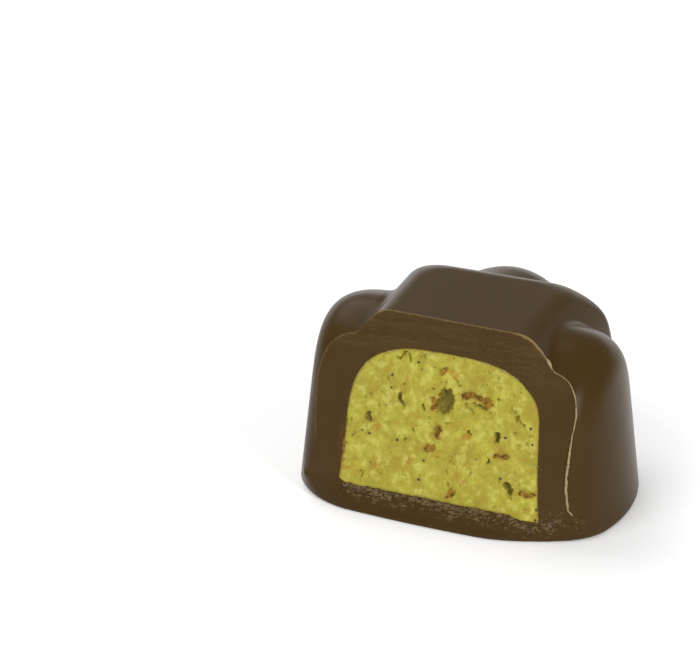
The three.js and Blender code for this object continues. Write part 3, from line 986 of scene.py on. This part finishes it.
# %% Recipes in Geometry Nodes
class Recipe(Graph):
    """A Geometry Nodes group with named inputs, and a way to run it on a piece."""

    def __init__(self, name, inputs):
        super().__init__(bpy.data.node_groups.new(name, "GeometryNodeTree"))
        sockets = self.tree.interface
        sockets.new_socket("Geometry", in_out="INPUT", socket_type="NodeSocketGeometry")
        sockets.new_socket("Geometry", in_out="OUTPUT", socket_type="NodeSocketGeometry")
        self.keys = {}
        for label, kind in inputs.items():
            self.keys[label] = sockets.new_socket(label, in_out="INPUT", socket_type=kind).identifier
        self.start = self.node("NodeGroupInput")

    def given(self, label):
        return Value(self, self.start.socket.node.outputs[label])

    def stored(self, name, kind="FLOAT_VECTOR"):
        return self.node("GeometryNodeInputNamedAttribute", {"data_type": kind}, [name])

    def uneven(self, geometry):
        """Pushes each point about by noise, then smooths, joins and colours the result."""
        place = self.node("GeometryNodeInputPosition")
        noisy = {"Vector": place, "Scale": self.given("Grain")}
        cloud = self.node("ShaderNodeTexNoise", {}, noisy, "Color")
        middle = self.node("ShaderNodeVectorMath", {"operation": "SUBTRACT"}, [cloud, (0.5, 0.5, 0.5)])
        push = self.scaled(middle, self.given("Unevenness"))
        joined = self.node("GeometryNodeRealizeInstances", {}, [geometry])
        pushed = self.node("GeometryNodeSetPosition", {}, {"Geometry": joined, "Offset": push})
        smooth = self.node("GeometryNodeSetShadeSmooth", {}, [pushed])
        coloured = {"Geometry": smooth, "Material": self.given("Material")}
        done = self.node("GeometryNodeSetMaterial", {}, coloured)
        end = self.tree.nodes.new("NodeGroupOutput")
        self.tree.links.new(done.socket, end.inputs["Geometry"])

    def run(self, piece, **values):
        """Puts the recipe on a piece with these values, and keeps what comes out."""
        modifier = piece.modifiers.new(self.tree.name, "NODES")
        modifier.node_group = self.tree
        for label, value in values.items():
            modifier[self.keys[label]] = value
        settle(piece)


SURFACE = {
    "Grain": "NodeSocketFloat",
    "Unevenness": "NodeSocketFloat",
    "Material": "NodeSocketMaterial",
}
print("every recipe takes:", list(SURFACE))

# %% A recipe for lumps
lump_recipe = Recipe("lumps_on_points", {"Fineness": "NodeSocketInt", **SURFACE})
unit_ball = {"Radius": 1.0, "Subdivisions": lump_recipe.given("Fineness")}
ball = lump_recipe.node("GeometryNodeMeshIcoSphere", {}, unit_ball)
turn, size = lump_recipe.stored("turn"), lump_recipe.stored("size")
placed = {"Points": lump_recipe.start, "Instance": ball, "Rotation": turn, "Scale": size}
lump_recipe.uneven(lump_recipe.node("GeometryNodeInstanceOnPoints", {}, placed))


def lumps_piece(name, finish, lumps, fineness, grain_size, unevenness):
    """One joined piece of lumps. Each is its place and its three half sizes, in mm, and its turn."""
    places, sizes, turns = zip(*lumps)
    piece = piece_from(name, places, [])
    for label, column in (("size", np.array(sizes) * MM), ("turn", np.array(turns))):
        values = column.astype(np.float32).ravel()
        piece.data.attributes.new(label, "FLOAT_VECTOR", "POINT").data.foreach_set("vector", values)
    surface = {"Grain": 1 / (grain_size * MM), "Unevenness": unevenness * MM}
    lump_recipe.run(piece, Fineness=fineness, Material=finish.material, **surface)
    print(name + ":", len(lumps), "lumps,", len(piece.data.polygons), "faces")
    return piece


print("nodes in the lump recipe:", len(lump_recipe.tree.nodes))

# %% Toasted flakes in the paste
draw = np.random.default_rng(31)
LOOSE_RISE = 0.15  # flakes that stand out more than this are loose pieces as well
LUMPS_PER_FLAKE = 7


def on_paste(x, z):
    """A place on the paste's torn face."""
    at_x, at_z = np.array([float(x)]), np.array([float(z)])
    return float(x), float(paste_front(at_x, at_z)[0]), float(z)


def flake_lumps():
    """Flat lumps that lie across one another along each flake."""
    lumps = []
    for x, z, length, width, rise, turn in FLAKES:
        if rise < LOOSE_RISE:
            continue
        angle = math.radians(turn)
        c, s = math.cos(angle), math.sin(angle)
        for _ in range(LUMPS_PER_FLAKE):
            along = draw.uniform(-0.8, 0.8) * length
            sideways = draw.uniform(-0.6, 0.6) * width
            here = on_paste(x + along * c - sideways * s, z + along * s + sideways * c)
            turns = (draw.uniform(-0.3, 0.3), draw.uniform(-0.5, 0.5) - angle, draw.uniform(-0.4, 0.4))
            sizes = (draw.uniform(0.22, 0.46), draw.uniform(0.06, 0.12), draw.uniform(0.12, 0.24))
            lumps.append((here, sizes, turns))
    return lumps


flake_finish = Finish("toasted_flake", Roughness=0.4, IOR=1.45, Specular_IOR_Level=0.2)
toasting = ramp(flake_finish.noise(0.5, 3, 0.6), 0.42, 0.60)
flake_finish.drive("Base Color", mixed(toasting, colour(150, 114, 32), colour(96, 68, 20)))
flakes = lumps_piece("toasted_flakes", flake_finish, flake_lumps(), 3, grain_size=0.25, unevenness=0.16)

# %% Dark specks in the paste
SPECKS = [  # x, height
    (-3.44, 14.45), (-5.87, 12.94), (-5.86, 11.77), (-7.61, 7.29), (-8.33, 7.52), (-4.81, 7.25),
    (-2.09, 5.84), (-2.4, 4.05), (5.5, 5.54), (5.62, 9.26), (7.95, 10.47), (8.26, 9.04),
    (-3.09, 13.88), (-0.55, 13.15), (-1.75, 14.29), (-9.27, 6.9), (-6.2, 10.17), (2.95, 6.84),
    (0.94, 9.18),
]
LARGE_SPECKS = 12  # the first of them
DUST = 26  # and as many tiny ones, anywhere


def speck_lumps():
    lumps = []
    for i, (x, z) in enumerate(SPECKS):
        size = draw.uniform(0.12, 0.17) if i < LARGE_SPECKS else draw.uniform(0.07, 0.10)
        lumps.append((on_paste(x, z), (size, 0.6 * size, 0.8 * size), (0, draw.uniform(0, 3), 0)))
    for _ in range(DUST):
        size = draw.uniform(0.04, 0.06)
        x, z = draw.uniform(-9, 8.5), draw.uniform(3, 14)
        lumps.append((on_paste(x, z), (size, size, size), (0, 0, 0)))
    return lumps


speck_finish = Finish("dark_speck", Base_Color=colour(70, 58, 44), Roughness=0.5)
dark_specks = lumps_piece("dark_specks", speck_finish, speck_lumps(), 2, grain_size=0.1, unevenness=0.04)

# %% Chocolate crumbs along the break and the edges of the cut
BREAK_CRUMBS, FOOT_CRUMBS, RIM_CRUMBS, TOP_CRUMBS = 240, 60, 24, 110
SUNK = 0.03  # how deep a crumb sits in the face that it clings to
RIM_X = 9.9  # the filling's right edge


def crumb(x, y, z, size, stretch=1.0):
    """One crumb. A stretched one lies along the break."""
    sizes = size * draw.uniform(0.6, 1.2, 3) * (stretch, 1, 1)
    turns = draw.uniform(-1, 1, 3) * (math.pi if stretch == 1 else 0.35)
    return (float(x), float(y), float(z)), tuple(sizes), tuple(turns)


def crumb_lumps():
    lumps = []
    for x in draw.uniform(-9.5, 10.8, BREAK_CRUMBS):
        below = abs(draw.normal(0, 0.4))
        z = break_height(x) + 0.12 - below
        size = draw.uniform(0.08, 0.20) * (1 - 0.4 * min(below, 1))
        y = band_face_y(x, z) + draw.uniform(0.2, 0.8) * size
        lumps.append(crumb(x, y, z, size, 2.4))
    for x in draw.uniform(8.8, 12.0, FOOT_CRUMBS):
        z = draw.uniform(1.7, 3.3)
        lumps.append(crumb(x, cut_y(x, z) + SUNK, z, draw.uniform(0.04, 0.13)))
    for z in draw.uniform(3.0, 7.4, RIM_CRUMBS):
        x = CUP_RADIUS - CUP_TAPER * z - 3.4 + draw.uniform(0, 0.5)
        lumps.append(crumb(x, cut_y(RIM_X, z) + SUNK, z, draw.uniform(0.05, 0.10)))
    for x in draw.uniform(-5.5, 6.5, TOP_CRUMBS):
        z = HEIGHT - abs(draw.normal(0, 0.10)) - SUNK
        y = cut_y(x, z) + draw.uniform(0, 0.06)
        lumps.append(crumb(x, y, z, draw.uniform(0.02, 0.055), 1.6))
    return lumps


crumb_finish = Finish("chocolate_crumb", Roughness=0.5, Specular_IOR_Level=0.3)
crumb_shades = ramp(crumb_finish.noise(0.4, 3), 0.40, 0.60)
crumb_finish.drive("Base Color", mixed(crumb_shades, colour(74, 57, 31), colour(108, 89, 56)))
crumbs = lumps_piece("chocolate_crumbs", crumb_finish, crumb_lumps(), 2, grain_size=0.1, unevenness=0.06)

# %% [markdown]
# ## The burr on the right edge
#
# The knife dragged a thin lip of chocolate along the cut's right edge. A row of crumbs would look
# broken up, and a drawn line would be flat. So it is a curve through points on that edge, swept
# with a small round profile whose radius changes along the way.

# %% A ribbon along a path
sweep_recipe = Recipe("ribbon_along_a_path", SURFACE)
curve = sweep_recipe.node("GeometryNodeMeshToCurve", {}, {"Mesh": sweep_recipe.start})
thickness = sweep_recipe.stored("thickness", "FLOAT")
profile = sweep_recipe.node("GeometryNodeCurvePrimitiveCircle", {}, {"Resolution": 10, "Radius": 1.0})
swept = {"Curve": curve, "Profile Curve": profile, "Scale": thickness, "Fill Caps": True}
sweep_recipe.uneven(sweep_recipe.node("GeometryNodeCurveToMesh", {}, swept))
print("nodes in the ribbon recipe:", len(sweep_recipe.tree.nodes))

# %% The burr
BURR = [  # height, thickness, how far it stands out sideways and forwards
    (17.6, 0.012, 0.0, 0.0),
    (16.8, 0.03, 0.0, 0.01),
    (16.45, 0.19, 0.03, 0.08),
    (16.1, 0.12, 0.04, 0.05),
    (15.8, 0.035, 0.0, 0.02),
    (14.9, 0.04, 0.0, 0.02),
    (13.7, 0.075, 0.02, 0.03),
    (13.1, 0.045, 0.01, 0.02),
    (12.5, 0.085, 0.03, 0.03),
    (11.3, 0.07, 0.02, 0.03),
    (10.8, 0.045, 0.01, 0.02),
    (9.5, 0.09, 0.03, 0.04),
    (7.5, 0.13, 0.03, 0.06),
    (6.5, 0.105, 0.0, 0.05),
    (6.2, 0.14, 0.06, 0.06),
    (4.7, 0.11, -0.15, 0.06),
    (3.9, 0.12, -0.45, 0.08),
    (3.4, 0.08, -0.6, 0.08),
    (2.9, 0.05, -0.35, 0.06),
]
BURR_POINTS = 170


def right_edge_x(z):
    """Where the cut's right edge is, at each height."""
    return last_inside(lambda x: mould_field(x, cut_y(x, z), z), z.shape, halvings=30)


def burr_path():
    """The points that the burr runs through, and its thickness at each."""
    heights, thickness, out, forward = np.array(BURR[::-1]).T
    z = np.linspace(heights[0], heights[-1], BURR_POINTS)
    edge = right_edge_x(z)
    x = edge + np.interp(z, heights, out) + 0.05 * grain(z, 0 * z, 0.7, 41.0)
    y = cut_y(edge, z) - np.interp(z, heights, forward)
    unevenness = 1 + 0.5 * grain(z, 0 * z, 0.25, 42.0)
    return np.stack([x, y, z], 1), np.interp(z, heights, thickness) * unevenness


burr_points, burr_thickness = burr_path()
burr = piece_from("burr", burr_points, [])
burr.data.edges.add(BURR_POINTS - 1)
burr.data.edges.foreach_set("vertices", np.repeat(np.arange(BURR_POINTS), 2)[1:-1])
paint(burr, thickness=burr_thickness * MM)
burr_finish = Finish("burr_chocolate", Roughness=0.42)
burr_finish.drive("Base Color", mixed(burr_finish.noise(0.5, 3), colour(118, 96, 58), colour(180, 156, 108)))
sweep_recipe.run(burr, Grain=1 / (0.3 * MM), Unevenness=0.06 * MM, Material=burr_finish.material)
print("burr:", len(burr.data.polygons), "faces")

# %% [markdown]
# ## Riding and replacing
#
# Nothing on the sweet moves by itself, so every piece rides on the part's one body. The fine
# shell and paste could be laid over their solids, but two skins in one place flicker. So each
# stands for its solid, which is then not drawn.

# %% Ride and replace
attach(moulded, "root")
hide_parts("chocolate_shell")
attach(paste, "root")
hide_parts("truffle_filling")
for loose in (flakes, dark_specks, crumbs, burr):
    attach(loose, "root")
